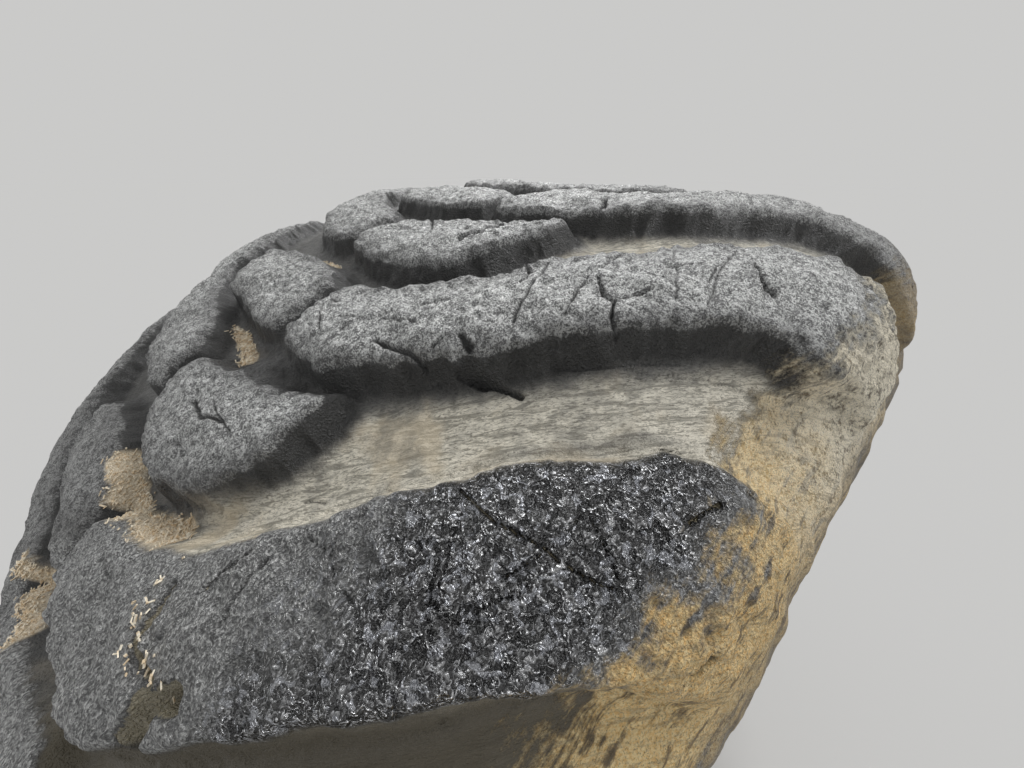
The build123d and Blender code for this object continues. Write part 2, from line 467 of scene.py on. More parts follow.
# Wheel disc: a thick plate ring with eased edges, joined to the rim's well by a rippled weld on each face.
# It has the rim's paint and mud.
disc_low, disc_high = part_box("wheel_disc")
disc_bore = 0.1855
plate = rounded((
    (disc_low[1], disc_bore, 0.0015), (disc_low[1], disc_high[0], 0.001),
    (disc_high[1], disc_high[0], 0.001), (disc_high[1], disc_bore, 0.0025),
))
welds = []
for y in (disc_low[1], disc_high[1]):
    weld = round_bar(y, disc_high[0] - 0.001, 0.0056)
    rippled = turned(weld, 420, rise=lambda k: 0.0005 * math.sin(1.55 * k) + 0.0003 * math.sin(0.23 * k))
    welds.append(rippled)
piece_from("plate_and_welds", joined([turned(plate, 220)] + welds), rim_paint, "rim_paint", "wheel_disc")

# Wheel nuts: twelve tall plated hexagons on domed collars, with the studs' threaded ends standing out.
# They clamp the disc onto the hub's flange.
nut_low, nut_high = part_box("wheel_nuts")
nut_flats = 0.034
collar_top = nut_low[1] + 0.006
collar = rounded((
    (nut_low[1], 0.005, 0), (nut_low[1], 0.023, 0.0006), (nut_low[1] + 0.0024, 0.023, 0.001),
    (collar_top, 0.018, 0.001), (collar_top, 0.005, 0),
))
root, crest = 0.0096, 0.0108
thread_end = nut_high[1] + 0.0122
thread = [(nut_high[1] - 0.004, 0)]
for turn in range(7):
    thread += [(nut_high[1] - 0.003 + 0.002 * turn, root), (nut_high[1] - 0.002 + 0.002 * turn, crest)]
thread += [(nut_high[1] + 0.011, root), (thread_end, 0.0084), (thread_end, 0)]
nuts = []
for spot in stud_places:
    nuts.append(turned(collar, 48, spot))
    nuts.append(hexagon(nut_flats, collar_top, nut_high[1], spot, foot_cut=True))
    nuts.append(turned(thread, 36, spot))
piece_from("nuts_and_studs", joined(nuts), plated, "plated_steel", "wheel_nuts")

# Valve: a black rubber stem through the wall of the rim's well, with a brass end and a knurled brass cap.
# The rubber is dusty and its foot bulges where it grips the hole.
valve_rubber, place, shader = started("valve_rubber")
dust = place.noise(0.006, 4.0, 0.6)
tint = dust.between(0.35, 0.7).blend((0.014, 0.014, 0.014), (0.11, 0.095, 0.07))
feed(shader, Base_Color=tint, Roughness=0.52 + 0.3 * dust, height=0.0004 * place.noise(0.002, 3.0))
brass, place, shader = started("brass")
tarnish = place.noise(0.005, 4.0, 0.6)
tint = tarnish.between(0.4, 0.65).blend((0.6, 0.44, 0.19), (0.22, 0.15, 0.075))
shader.inputs["Metallic"].default_value = 1.0
feed(shader, Base_Color=tint, Roughness=0.26 + 0.3 * tarnish, height=0.0001 * tarnish)
valve_low, valve_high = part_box("valve_stem")
valve_at = ((valve_low[0] + valve_high[0]) / 2, (valve_low[2] + valve_high[2]) / 2)
wall = well_sides[1] + sheet
grip = rounded((
    (valve_low[1], 0, 0), (valve_low[1], 0.008, 0.002),
    (wall - 0.001, 0.008, 0.001), (wall - 0.001, 0.0105, 0.001),
    (wall + 0.008, 0.0105, 0.004), (wall + 0.018, 0.0078, 0.004),
    (valve_high[1], 0.0062, 0.001), (valve_high[1], 0, 0),
))
piece_from("rubber_stem", turned(grip, 48, valve_at), valve_rubber, "valve_rubber", "valve_stem")
end_radius = 0.0048
cap_radius = 0.006
cap_foot, cap_top = valve_high[1] + 0.004, valve_high[1] + 0.017
cap = rounded((
    (valve_high[1] - 0.001, 0, 0), (valve_high[1] - 0.001, end_radius, 0), (cap_foot, end_radius, 0),
    (cap_foot, cap_radius, 0.0005), (valve_high[1] + 0.014, cap_radius, 0.0015),
    (cap_top, 0.0032, 0.001), (cap_top, 0, 0),
))
knurled = turned(cap, 60, valve_at, rise=lambda k: 0.0004 * (k % 2))
piece_from("valve_cap", knurled, brass, "valve_rubber")

# Tyre: a wide forestry tyre of black rubber, moulded with twenty pairs of swept lugs and free blocks.
# Every edge is worn round, and stones and stumps have left cuts, chips and torn bits in the lugs.
tip_radius = 0.672
side_radius = 0.5
side_reach = 0.3567
crown_power = 5.37
edge_power = 2.7

# Control points of the side's curve, then points of the bead and the liner: y from the middle, and radius.
side_curve = ((0.3567, 0.5), (0.3567, 0.45), (0.34, 0.392), (0.3055, 0.373))
bead_stations = (
    (0.3047, 0.345), (0.298, 0.3372), (0.263, 0.3372), (0.2625, 0.395), (0.305, 0.44),
    (0.322, 0.5), (0.3, 0.58), (0.2, 0.6), (0.08, 0.603),
)

full_turn = 2 * math.pi * tip_radius
per_degree = full_turn / 360
pitch_angle = 18.0
tread_phase = -0.5
groove_depth = 0.027
usual_wear = 0.0034
least_wear = 0.0014
corner_round = 0.006

# The nearest lug's rear edge: degrees at the centre line, and the degrees it falls back per metre across.
front_lug_edge = 49.6
front_lug_sweep = 81.5

# Outlines of the worn tops: millimetres across from the centre line, and degrees from the row's middle.
outboard_arm = (
    (36, -1.5), (60, -3.0), (110, -4.6), (155, -6.9), (184, -10.0), (215, -13.0), (265, -18.0),
    (300, -21.2), (330, -22.5), (400, -23.5), (400, -15.9), (343, -14.2), (317, -13.1), (292, -11.0),
    (259, -8.3), (229, -5.2), (207, -2.9), (170, -0.3), (117, 2.4), (60, 3.0), (36, 1.8),
)
inboard_block = (
    (20, -1.5), (3, -2.6), (-43, -3.1), (-112, -3.2), (-145, -2.2), (-153, 0.3), (-125, 2.8),
    (-53, 3.3), (-4, 3.3), (24, 2.4),
)
outboard_block = (
    (-42, 1.1), (-36, -0.8), (-14, -1.8), (40, -2.8), (95, -4.0), (138, -6.0), (146, -5.4),
    (142, -3.8), (128, 0.0), (100, 2.3), (62, 3.4), (8, 3.7), (-27, 3.0),
)
inboard_arm = tuple((-16 - across, turn) for across, turn in outboard_arm)
lug_rows = ((9.0, (outboard_arm, inboard_block)), (0.0, (outboard_block, inboard_arm)))

# Where wear has pushed a lug's end round: mm across, degrees round, reach in mm, and the push in degrees.
pushes = ((340, 14.0, 26, 1.8),)

# Where the rubber between two blocks is filled up: mm across, degrees round, reach in mm, and how much.
bridges = (
    (48, 31.4, 30, 0.62),
    (-30, 24.5, 22, 0.45),
)

# Cuts: width and depth in mm, then their line in mm across and degrees round the tyre.
cuts = (
    (0.7, 2.0, (248, 28.9), (270, 28.8), (290, 28.5), (314, 28.0)),
    (0.6, 1.8, (287, 28.7), (285, 29.3), (283, 30.0)),
    (0.7, 1.6, (290, 27.0), (288, 28.3)),
    (0.7, 1.6, (294, 26.9), (302, 27.2), (312, 27.7)),
    (0.9, 1.2, (249, 30.9), (259, 30.9), (268, 31.9), (275, 32.4)),
    (0.9, 1.2, (240, 31.5), (254, 30.5)),
    (0.5, 0.7, (301, 25.4), (326, 25.8)),
    (1.5, 4.0, (331, 23.4), (326, 24.1), (324, 24.7)),
    (1.4, 4.0, (361, 27.3), (356, 28.6)),
    (1.1, 3.0, (188, 35.4), (184, 36.5), (181, 37.5)),
    (0.9, 1.5, (199, 35.0), (200, 36.1), (205, 37.0)),
    (7.0, 9.0, (207, 39.4), (199, 40.4), (198, 41.3), (195, 42.2)),
    (3.0, 3.0, (160, 38.6), (169, 40.2), (183, 40.3), (195, 40.0)),
    (1.3, 4.0, (222, 18.0), (230, 18.8), (237, 18.7), (243, 19.6), (248, 19.9)),
    (0.9, 2.0, (237, 18.7), (240, 17.6), (246, 16.9)),
    (2.4, 6.0, (275, 12.1), (284, 12.7), (294, 13.0)),
    (0.9, 1.6, (240, 14.8), (252, 14.9), (261, 14.7)),
    (1.3, 1.8, (263, 13.7), (266, 15.0)),
    (1.0, 1.6, (94, 26.4), (104, 26.1), (114, 25.8)),
    (1.0, 1.6, (126, 25.3), (141, 25.0), (155, 24.6)),
    (1.2, 2.4, (180, 23.9), (178, 24.7), (176, 25.1)),
    (1.0, 1.8, (56, 25.8), (71, 25.8)),
    (1.6, 3.0, (91, 17.4), (98, 16.9), (111, 16.1)),
    (1.1, 2.0, (-60, 17.0), (6, 17.7)),
    (1.0, 1.8, (-130, 16.0), (-72, 16.6)),
    (1.6, 3.5, (163, 19.3), (163, 18.6), (171, 18.3), (182, 19.0), (184, 19.8), (176, 20.0)),
    (1.4, 1.8, (213, 14.8), (217, 19.1), (223, 20.6)),
    (1.4, 1.8, (184, 17.8), (195, 20.2), (204, 22.1)),
    (1.2, 1.5, (233, 13.1), (247, 15.0), (260, 16.8)),
    (1.1, 1.2, (235, 15.2), (250, 14.3)),
    (1.1, 1.4, (243, 15.8), (258, 16.4)),
    (1.2, 1.6, (261, 11.1), (265, 13.6), (272, 16.0)),
    (1.2, 1.6, (233, 11.0), (248, 11.1), (259, 10.7)),
    (1.6, 2.2, (31, 25.1), (59, 26.4), (87, 27.7)),
    (2.2, 4.0, (138, 26.4), (158, 26.1), (174, 25.9)),
    (2.4, 5.0, (184, 23.9), (194, 24.2)),
    (1.2, 1.4, (106, 27.0), (135, 23.9), (157, 22.6)),
    (1.8, 3.5, (35, 35.3), (71, 34.9), (91, 34.1)),
    (1.2, 1.8, (59, 34.1), (106, 34.0)),
    (3.0, 6.0, (-51, 37.5), (-54, 36.2), (-43, 34.1), (-20, 32.8)),
    (1.8, 3.5, (-4, 14.2), (46, 17.0), (58, 18.7)),
    (2.6, 5.5, (93, 17.5), (101, 16.4), (101, 14.6)),
    (3.0, 5.0, (140, 7.6), (146, 8.6)),
    (2.2, 5.0, (193, 25.2), (209, 24.6), (225, 24.1)),
    (0.9, 1.1, (260, 20.3), (277, 19.2), (297, 18.0), (315, 17.0), (334, 16.1)),
    (0.8, 0.9, (263, 20.5), (282, 19.2), (303, 17.9)),
    (1.0, 1.3, (230, 22.3), (245, 21.2), (260, 20.0), (281, 18.2)),
    (1.3, 1.6, (165, 33.8), (172, 33.4), (178, 33.1)),
)

# Sawdust blown into the grooves: outlines in mm across and degrees round.
sawdust = (
    ((-80, 31.2), (-50, 30.8), (-15, 31.4), (12, 32.0), (-5, 32.7), (-35, 32.3), (-65, 31.9)),
    (
        (-30, 41.9), (4, 42.3), (22, 42.9), (50, 42.0), (72, 41.2), (95, 40.6), (114, 39.9), (112, 39.0),
        (100, 38.8), (94, 39.3), (78, 40.1), (48, 41.2), (22, 41.6), (-5, 41.0), (-28, 41.1),
    ),
    ((-72, 51.9), (-12, 51.0), (30, 50.5), (34, 51.3), (-10, 52.0), (-66, 52.8)),
    ((-93, 22.2), (-52, 22.0), (-38, 22.3), (-65, 22.7)),
)


def spaced(stops):
    """Values from a table of (end, step) after a first start value."""
    start, *rest = stops
    line = [start]
    for end, step in rest:
        count = max(1, round((end - line[-1]) / step))
        line += list(np.linspace(line[-1], end, count + 1)[1:])
    return np.array(line)


t = np.linspace(0, math.pi / 2, 6001)
half_y = side_reach * np.sin(t) ** (2 / crown_power)
half_r = side_radius + (tip_radius - side_radius) * np.cos(t) ** (2 / edge_power)
s = np.linspace(0, 1, 801)[1:, None]
a, b, c, d = (np.array(p) for p in side_curve)
curve = a * (1 - s) ** 3 + 3 * b * s * (1 - s) ** 2 + 3 * c * s * s * (1 - s) + d * s ** 3
half_y = np.concatenate([half_y, curve[:, 0]])
half_r = np.concatenate([half_r, curve[:, 1]])
half_arc = np.concatenate([[0], np.cumsum(np.hypot(np.diff(half_y), np.diff(half_r)))])
reach = half_arc[-1]


def profile(across):
    """y, radius and outward normal of the worn tips' envelope at an arc distance across."""
    step = 0.002
    near = abs(across)
    places = (near, near + step, np.maximum(near - step, 0))
    y, y_far, y_close = (np.interp(place, half_arc, half_y) for place in places)
    r, r_far, r_close = (np.interp(place, half_arc, half_r) for place in places)
    dy, dr = y_far - y_close, r_far - r_close
    size = np.hypot(dy, dr)
    side = np.sign(across)
    return side * y, r, -dr / size * side, dy / size


def smooth(low, high, x):
    """0 below low, 1 above high, and a smooth rise between them."""
    t = np.clip((x - low) / (high - low), 0, 1)
    return t * t * (3 - 2 * t)


def grain(angle, across, size, seed):
    """Smooth noise from -1 to 1, with lumps of a given size, closed round the tyre."""
    count = round(full_turn / size)
    a = (angle / 360.0 * count) % count
    b = across / size + 1000.0
    i, j = (np.floor(part).astype(np.int64) for part in (a, b))
    fa, fb = (part * part * part * (part * (part * 6 - 15) + 10) for part in (a - i, b - j))

    def corner(p, q):
        h = ((p % count) * 374761393 + q * 668265263 + seed * 1274126177) & 0xFFFFFFFF
        h = ((h ^ (h >> 13)) * 1103515245) & 0xFFFFFFFF
        h = ((h ^ (h >> 15)) * 2246822519) & 0xFFFFFFFF
        return ((h ^ (h >> 16)) & 0xFFFFFF) / float(0x7FFFFF) - 1.0

    low = corner(i, j) * (1 - fa) + corner(i + 1, j) * fa
    high = corner(i, j + 1) * (1 - fa) + corner(i + 1, j + 1) * fa
    return low * (1 - fb) + high * fb


def uneven(angle, across, *layers):
    """Noise of several sizes added up, from layers of (height, size of lumps, seed)."""
    return sum(height * grain(angle, across, size, seed) for height, size, seed in layers)


def near_spot(angle, across, middle, turn, size):
    """1 at a spot on the tread given in mm and degrees, falling to 0 round it."""
    gap = (across - middle / 1000) ** 2 + ((angle - turn) * per_degree) ** 2
    return np.exp(-gap / (size / 1000) ** 2)


def unrolled(line):
    """A line given in mm across and degrees round, as metres round and across."""
    return [(turn * per_degree, across / 1000) for across, turn in line]


def from_line(x, y, corners):
    """Distance from a line through some corners."""
    near = np.full(x.shape, 1e9)
    for (x0, y0), (x1, y1) in zip(corners, corners[1:]):
        ex, ey = x1 - x0, y1 - y0
        k = np.clip(((x - x0) * ex + (y - y0) * ey) / (ex * ex + ey * ey), 0, 1)
        near = np.minimum(near, (x - x0 - k * ex) ** 2 + (y - y0 - k * ey) ** 2)
    return np.sqrt(near)


def from_outline(x, y, corners):
    """Distance from a closed outline, negative inside it."""
    inside = np.zeros(x.shape, bool)
    for (x0, y0), (x1, y1) in zip(corners, corners[1:] + corners[:1]):
        if y0 != y1:
            crosses = (y0 > y) != (y1 > y)
            inside ^= crosses & (x < (x1 - x0) * (y - y0) / (y1 - y0) + x0)
    near = from_line(x, y, corners + corners[:1])
    return np.where(inside, -near, near)


def drawn_in(corners, amount):
    """A closed outline moved in by an amount, whichever way round it runs."""
    sides = list(zip(corners, corners[1:] + corners[:1]))
    area = sum(x0 * y1 - x1 * y0 for (x0, y0), (x1, y1) in sides)
    turn = 1 if area > 0 else -1
    inward = []
    for (x0, y0), (x1, y1) in sides:
        inward.append(turn * np.array([y0 - y1, x1 - x0]) / math.hypot(x1 - x0, y1 - y0))
    moved = []
    for corner, before, after in zip(corners, inward[-1:] + inward, inward):
        moved.append(tuple(corner + (before + after) / (1 + before @ after) * amount))
    return moved


def lug_edge(angle, across):
    """Distance from the nearest lug's worn edge in metres, negative on the lug."""
    along = (angle - tread_phase) * per_degree
    along = along + uneven(angle, across, (0.0035, 0.09, 1), (0.0018, 0.028, 2))
    over = across + uneven(angle, across, (0.0035, 0.08, 4), (0.0018, 0.026, 5))
    for middle, turn, size, push in pushes:
        along = along - near_spot(angle, across, middle, turn, size) * push * per_degree
    edge = np.full(angle.shape, 1.0)
    width = pitch_angle * per_degree
    for row, outlines in lug_rows:
        local = (along - row * per_degree) % width
        for outline in outlines:
            corners = drawn_in(unrolled(outline), corner_round)
            for back in (0, 1, 2):
                if min(x for x, y in corners) < (1 - back) * width + 0.05:
                    gap = from_outline(local - back * width, over, corners) - corner_round
                    edge = np.minimum(edge, gap)
    return edge


def cut_depth(angle, across):
    """Depth of the traced cuts in metres, with ragged sides."""
    x = angle * per_degree + 0.0012 * grain(angle, across, 0.011, 32)
    y = across + 0.0012 * grain(angle, across, 0.011, 33)
    ragged = 1 + 0.4 * grain(angle, across, 0.007, 31)
    depth = np.zeros(angle.shape)
    for width, deep, *line in cuts:
        half = width / 2000 * ragged
        gap = from_line(x, y, unrolled(line))
        depth = np.maximum(depth, deep / 1000 * (1 - smooth(half * 0.2, half * 2.2, gap)))
    return depth


def surface(angle, across, traced):
    """Depth below the worn tips' envelope, and marks from 0 to 1 of what the rubber is like."""
    edge = lug_edge(angle, across) - 0.004
    chips = uneven(angle, across, (0.003, 0.018, 6), (0.002, 0.008, 7), (0.0007, 0.0035, 8))
    front_lug = (front_lug_edge - front_lug_sweep * across - 2.0 < angle) & (angle < 56)
    chips = np.where(front_lug, 0.35, 1.0) * chips
    fall = 0.62 * smooth(-0.008, 0.006, edge + chips) + 0.38 * smooth(-0.006, 0.022, edge)
    for middle, turn, size, share in bridges if traced else ():
        fall = fall * (1 - share * near_spot(angle, across, middle, turn, size))
    inner = np.clip((-edge - 0.5 * chips) / 0.03, 0, 1)
    crown = 0.005 * (1 - np.clip(-edge / 0.042, 0, 1)) ** 2
    fade = 1 - smooth(0.345, 0.44, abs(across))
    depth = fade * (groove_depth * fall + crown * (1 - fall))
    top = 1 - smooth(0.07, 0.26, fall * fade)
    floor = smooth(0.72, 0.97, fall) * smooth(0.4, 0.9, fade)
    lumps = uneven(angle, across, (0.0022, 0.04, 11), (0.0016, 0.016, 12))
    rough = uneven(angle, across, (0.0011, 0.0062, 13), (0.0008, 0.0031, 14))
    rough = rough * (1 - 0.8 * smooth(0.33, 0.42, abs(across)))
    ridge = abs(uneven(angle, across, (1, 0.034, 15), (0.25, 0.009, 16)))
    cracked = smooth(0.1, 0.45, grain(angle, across, 0.055, 17)) * top * fade
    crack = (1 - smooth(0.005, 0.035, ridge)) * cracked
    depth = depth + lumps * (0.35 + 0.65 * top) + rough * (0.12 + 0.88 * (1 - floor)) + 0.0013 * crack
    dark = crack * 0.35
    dust = np.zeros(angle.shape)
    if traced:
        cut = cut_depth(angle, across)
        depth = depth + cut
        dark = np.maximum(dark, smooth(0.0004, 0.0019, cut))
        ragged = uneven(angle, across, (0.002, 0.01, 41), (0.0012, 0.0035, 42))
        for outline in sawdust:
            gap = from_outline(angle * per_degree, across, unrolled(outline)) + ragged
            dust = np.maximum(dust, 1 - smooth(-0.0018, 0.001, gap))
    marks = {"top": top, "floor": floor, "cut": dark, "dust": dust, "inner": inner}
    return np.maximum(depth + usual_wear, least_wear), marks


fine_columns = spaced((
    -reach, (-0.44, 0.006), (-0.06, 0.0032), (0.17, 0.0017), (0.35, 0.0009), (0.42, 0.0016),
    (reach, 0.004),
))
coarse_skip = 4
short = coarse_skip - (len(fine_columns) - 1) % coarse_skip
first_columns = np.linspace(fine_columns[0], fine_columns[1], short + 2)[1:-1]
fine_columns = np.concatenate([fine_columns[:1], first_columns, fine_columns[1:]])
liner = [(y, r) for y, r in bead_stations] + [(-y, r) for y, r in reversed(bead_stations)]
row_steps = ((10.0, 0.0026), (20.0, 0.0015), (40.0, 0.00095), (48.0, 0.0015), (56.0, 0.003))
fine_rows = spaced((-10.0, *[(end, step / per_degree) for end, step in row_steps]))
coarse_rows = spaced((56.0, (350.0, 0.0075 / per_degree)))
most_triangles = 190000


def tread_points(rows, columns, traced):
    """Points and marks on lines across the tyre: its outside, then its liner back to the start."""
    angle, across = np.meshgrid(rows, columns, indexing="ij")
    depth, marks = surface(angle, across, traced)
    y, r, ny, nr = profile(across)
    ny = np.where(across == 0, 0, ny)
    nr = np.where(across == 0, 1, nr)
    y = y - depth * ny + tyre_plane
    r = r - depth * nr
    turn = np.radians(angle)
    outer = np.stack([r * np.sin(turn), y, r * np.cos(turn)], -1)
    turn = np.radians(np.array(rows))[:, None]
    liner_y, liner_r = (part + 0 * turn for part in np.array(liner).T)
    inner = np.stack([liner_r * np.sin(turn), liner_y + tyre_plane, liner_r * np.cos(turn)], -1)
    blank = np.zeros(inner.shape[:2])
    kept = {name: np.concatenate([value, blank], 1) for name, value in marks.items()}
    kept["across"] = np.concatenate([across, blank - 1], 1)
    kept["round"] = np.concatenate([angle, blank], 1)
    return np.concatenate([outer, inner], 1), kept


def slice_of_tyre(name, rows, columns, fine_ends=None):
    """A slice closed round its section. Where fine_ends is given, its two end lines have those columns."""
    points, marks = tread_points(rows, columns, fine_ends is None)
    ids = np.arange(points[..., 0].size).reshape(points.shape[:2])
    points = points.reshape(-1, 3)
    marks = {key: value.reshape(-1) for key, value in marks.items()}
    plain = ids if fine_ends is None else ids[1:-1]
    a, b = plain[:-1], plain[1:]
    quads = np.stack([a, np.roll(a, -1, 1), np.roll(b, -1, 1), b], -1).reshape(-1, 4)
    rings = []
    if fine_ends is not None:
        outside = len(fine_ends)
        stops = list(range(0, outside, coarse_skip)) + list(range(outside, outside + len(liner)))
        for row, next_row, flip in ((rows[0], ids[1], False), (rows[-1], ids[-2], True)):
            line, line_marks = tread_points([row], fine_ends, False)
            offset = len(points)
            points = np.concatenate([points, line[0]])
            marks = {key: np.concatenate([value, line_marks[key][0]]) for key, value in marks.items()}
            for k, stop in enumerate(stops):
                after = (k + 1) % len(stops)
                ends = range(stop, stops[after] + 1) if after else (stop, 0)
                ring = [offset + end for end in ends] + [next_row[after], next_row[k]]
                rings.append(ring[::-1] if flip else ring)
    corners = np.concatenate([quads.reshape(-1)] + [np.array(ring) for ring in rings]).astype(np.int64)
    sizes = np.concatenate([np.full(len(quads), 4), [len(ring) for ring in rings]]).astype(np.int32)
    used, renumbered = np.unique(corners, return_inverse=True)
    mesh = bpy.data.meshes.new(name)
    mesh.vertices.add(len(used))
    mesh.vertices.foreach_set("co", points[used].astype(np.float32).reshape(-1))
    mesh.loops.add(len(corners))
    mesh.loops.foreach_set("vertex_index", renumbered.astype(np.int32))
    mesh.polygons.add(len(sizes))
    starts = np.concatenate([[0], np.cumsum(sizes)[:-1]])
    mesh.polygons.foreach_set("loop_start", starts.astype(np.int32))
    mesh.update(calc_edges=True)
    mesh.validate()
    mesh.shade_smooth()
    for key, value in marks.items():
        layer = mesh.attributes.new(key, "FLOAT", "POINT")
        layer.data.foreach_set("value", value[used].astype(np.float32))
    return placed(name, mesh)


row_limit = most_triangles // (2 * (len(fine_columns) + len(liner)))
slices = list(range(0, len(fine_rows) - 1, row_limit)) + [len(fine_rows) - 1]
tyre_pieces = []
for k, (first, last) in enumerate(zip(slices, slices[1:])):
    tyre_pieces.append(slice_of_tyre(f"tyre_near_{k + 1}", fine_rows[first:last + 1], fine_columns))
tyre_pieces.append(slice_of_tyre("tyre_far", coarse_rows, fine_columns[::coarse_skip], fine_columns))


# Rubber: grey where it is worn and dry, with a painted sheen that lightens the farther tops and painted
# shade at their edges; near black in the walls, partly as painted shade, and where it is soaked; beads of
# water with painted highlights on the nearest lug, dried film in the grooves and ochre mud on the outer
# shoulder and side.
def painted_by(place, name):
    """A value kept at the mesh's own points."""
    return place.node("ShaderNodeAttribute", {}, output=2, attribute_name=name)


rubber, place, shader = started("tyre_rubber")
marks = ("top", "floor", "cut", "inner", "dust", "across", "round")
top, floor, cut, inner, dust, across, turn = (painted_by(place, name) for name in marks)
rolled_out = place.node("ShaderNodeCombineXYZ", {0: turn * per_degree, 1: across})

# Its textures: broad patches, grains, water, and lines that run along the grooves or round the tyre.
patches = place.noise(0.045, 3.0)
clouds = place.noise(0.16, 4.0, 0.6)
crumbs = place.noise(0.0008, 2.0, 0.6)
grit = place.noise(0.0015, 3.0, 0.6)
pits = place.noise(0.0052, 3.0, 0.62)
beads = place.noise(0.0023, 0.9, 0.5, 1.4).between(0.42, 0.7)
drops = place.noise(0.0046, 0.6, 0.5, 1.0).between(0.6, 0.64)
droplets = place.noise(0.0013, 0.8, 0.5, 0.6).between(0.4, 0.64)
wander = patches - 0.5
finer = place.noise(0.014, 4.0, 0.62) - 0.5
along_groove = across - turn * per_degree
over_groove = across + turn * per_degree
down_groove = place.node("ShaderNodeCombineXYZ", {0: along_groove, 1: over_groove})
wrinkles = down_groove.stretched(0.24, 0.8, 1.0).noise(0.0011, 4.0, 0.62, 1.0)
creases = down_groove.stretched(0.14, 0.8, 1.0).noise(0.0042, 5.0, 0.66, 0.7)
runs = rolled_out.stretched(0.14, 1.0, 1.0).noise(0.005, 5.0, 0.64)

# Where it is soaked, damp, beaded, muddy or under dried film. "nearby" is the stretch that the photo shows.
tread = 1 - across.between(0.4, 0.45)
nearby = tread * (1 - turn.between(52, 64)) * turn.between(-8, 2)
behind_lug = turn - (front_lug_edge - front_lug_sweep * across)
soaked = (behind_lug + 1.2 * finer).between(-3.6, -2.4) * nearby
damp = (behind_lug + 4.0 * wander).between(-6.0, -3.0) * nearby
wet = soaked * top * (across + 0.09 * wander + 0.05 * finer).between(0.16, 0.24)
wet = wet * (1 - (across + 0.05 * wander + 0.03 * finer).between(0.315, 0.35))
big_here = wet * (across + 0.1 * wander).between(0.205, 0.255)
worn_top_vs_wall_shade = (top + 0.9 * (grit - 0.5) + 0.5 * finer).between(0.3, 0.8)

spread = (across + 0.07 * wander + 0.08 * finer).between(0.268, 0.405)
spread = spread * (1 - 0.95 * (across + 0.26 * (clouds - 0.5) + 0.14 * finer).between(0.38, 0.58))
caking = 0.55 * runs + 0.25 * crumbs + 0.2 * grit + 0.9 * spread * (1 - 0.15 * wet)
mud = nearby * caking.between(0.84, 1.1) + (1 - nearby) * 0.8 * caking.between(0.74, 1.3)
open_floor = nearby * (1 - (behind_lug + 4.0 * wander).between(-9.5, -6.5)) * turn.between(14, 18)
lug_foot = (1 - floor) * (1 - top) * behind_lug.between(-4.0, -2.0) * nearby
film = floor * (0.4 + 0.6 * floor) + lug_foot
film = film * (across + 0.1 * wander).between(0.05, 0.16) * (1 - 0.85 * open_floor) ** 2.0

# Its colours, laid one over the other: bare rubber with painted sheen and shade, water with painted
# highlights, film, dust, mud with painted shade in its crevices, cuts and sawdust.
# The grain below is partly wear and partly painted light: painted shade in its pits, painted glints on its
# crests.
worn = (0.36 * crumbs + 0.36 * grit + 0.28 * pits).between(0.44, 0.58)
# Painted sheen: the farther tops of the near stretch get a far lighter grey, standing in for a grazing
# reflection.
painted_far_sheen = nearby * (1 - turn.between(27, 46))
sunlit = worn.blend((0.12, 0.12, 0.119), (1.0, 1.0, 0.975))
grey = painted_far_sheen.blend(worn.blend((0.04, 0.04, 0.04), (0.44, 0.44, 0.43)), sunlit)
# Painted shade: the tops darken towards their rounded edges, where they roll over into the walls.
painted_edge_shade = worn.blend((0.012, 0.012, 0.012), (0.2, 0.2, 0.196))
grey = (inner + 0.8 * finer).between(-0.15, 0.85).blend(painted_edge_shade, grey)
grey = damp.blend(grey, worn.blend((0.022, 0.022, 0.022), (0.25, 0.248, 0.24)))
# Water beads on the nearest lug, with painted highlights: light crests and bluish-white drop rims over dark
# gaps.
beads_with_painted_highlights = beads.blend((0.085, 0.085, 0.086), (0.66, 0.665, 0.68))
beads_with_painted_highlights = drops.blend(beads_with_painted_highlights, (0.46, 0.47, 0.5))
# Soaked tops: the small droplets are painted light as glints on the dark rubber.
droplets_painted_glints = (0.6 * droplets + 0.4 * worn).blend((0.05, 0.05, 0.05), (0.6, 0.6, 0.59))
tint = (soaked * top).blend(grey, droplets_painted_glints)
# Walls near black: partly the unworn rubber's own black, partly painted shade.
tint = (1 - worn_top_vs_wall_shade).blend(tint, worn.blend((0.003, 0.003, 0.003), (0.026, 0.026, 0.025)))
tint = big_here.blend(tint, beads_with_painted_highlights)
bare_floor = wrinkles.between(0.35, 0.6).blend((0.035, 0.035, 0.034), (0.15, 0.147, 0.138))
tint = floor.blend(tint, bare_floor)
pale = wrinkles.between(0.34, 0.54).blend((0.33, 0.3, 0.235), (1.0, 0.935, 0.785))
pale = (0.75 * creases.between(0.48, 0.6)).blend(pale, (0.26, 0.24, 0.19))
pale = (0.55 * patches.between(0.5, 0.62)).blend(pale, (0.78, 0.65, 0.45))
charcoal = (clouds + 0.5 * finer).between(0.42, 0.58) * (1 - (across + 0.1 * wander).between(0.24, 0.33))
pale = (0.5 * charcoal).blend(pale, (0.11, 0.108, 0.1))
pale = (0.65 * (1 - nearby)).blend(pale, (0.11, 0.097, 0.07))
pale = (nearby * behind_lug.between(5.0, 9.0)).blend(pale, (0.095, 0.078, 0.045))
tint = film.blend(tint, pale)
side = across.between(0.4, 0.46) + (0 - across).between(0.4, 0.46)
dusty = (0.5 * clouds + 0.3 * runs + 0.2 * crumbs + 0.4 * finer).between(0.36, 0.62)
tint = side.blend(tint, dusty.blend((0.034, 0.033, 0.031), (0.17, 0.145, 0.108)))
caked = grit.between(0.35, 0.62).blend((0.86, 0.57, 0.225), (1.0, 0.78, 0.41))
caked = (0.8 * runs + 0.2 * pits + 0.4 * finer).between(0.38, 0.49).blend((0.25, 0.175, 0.085), caked)
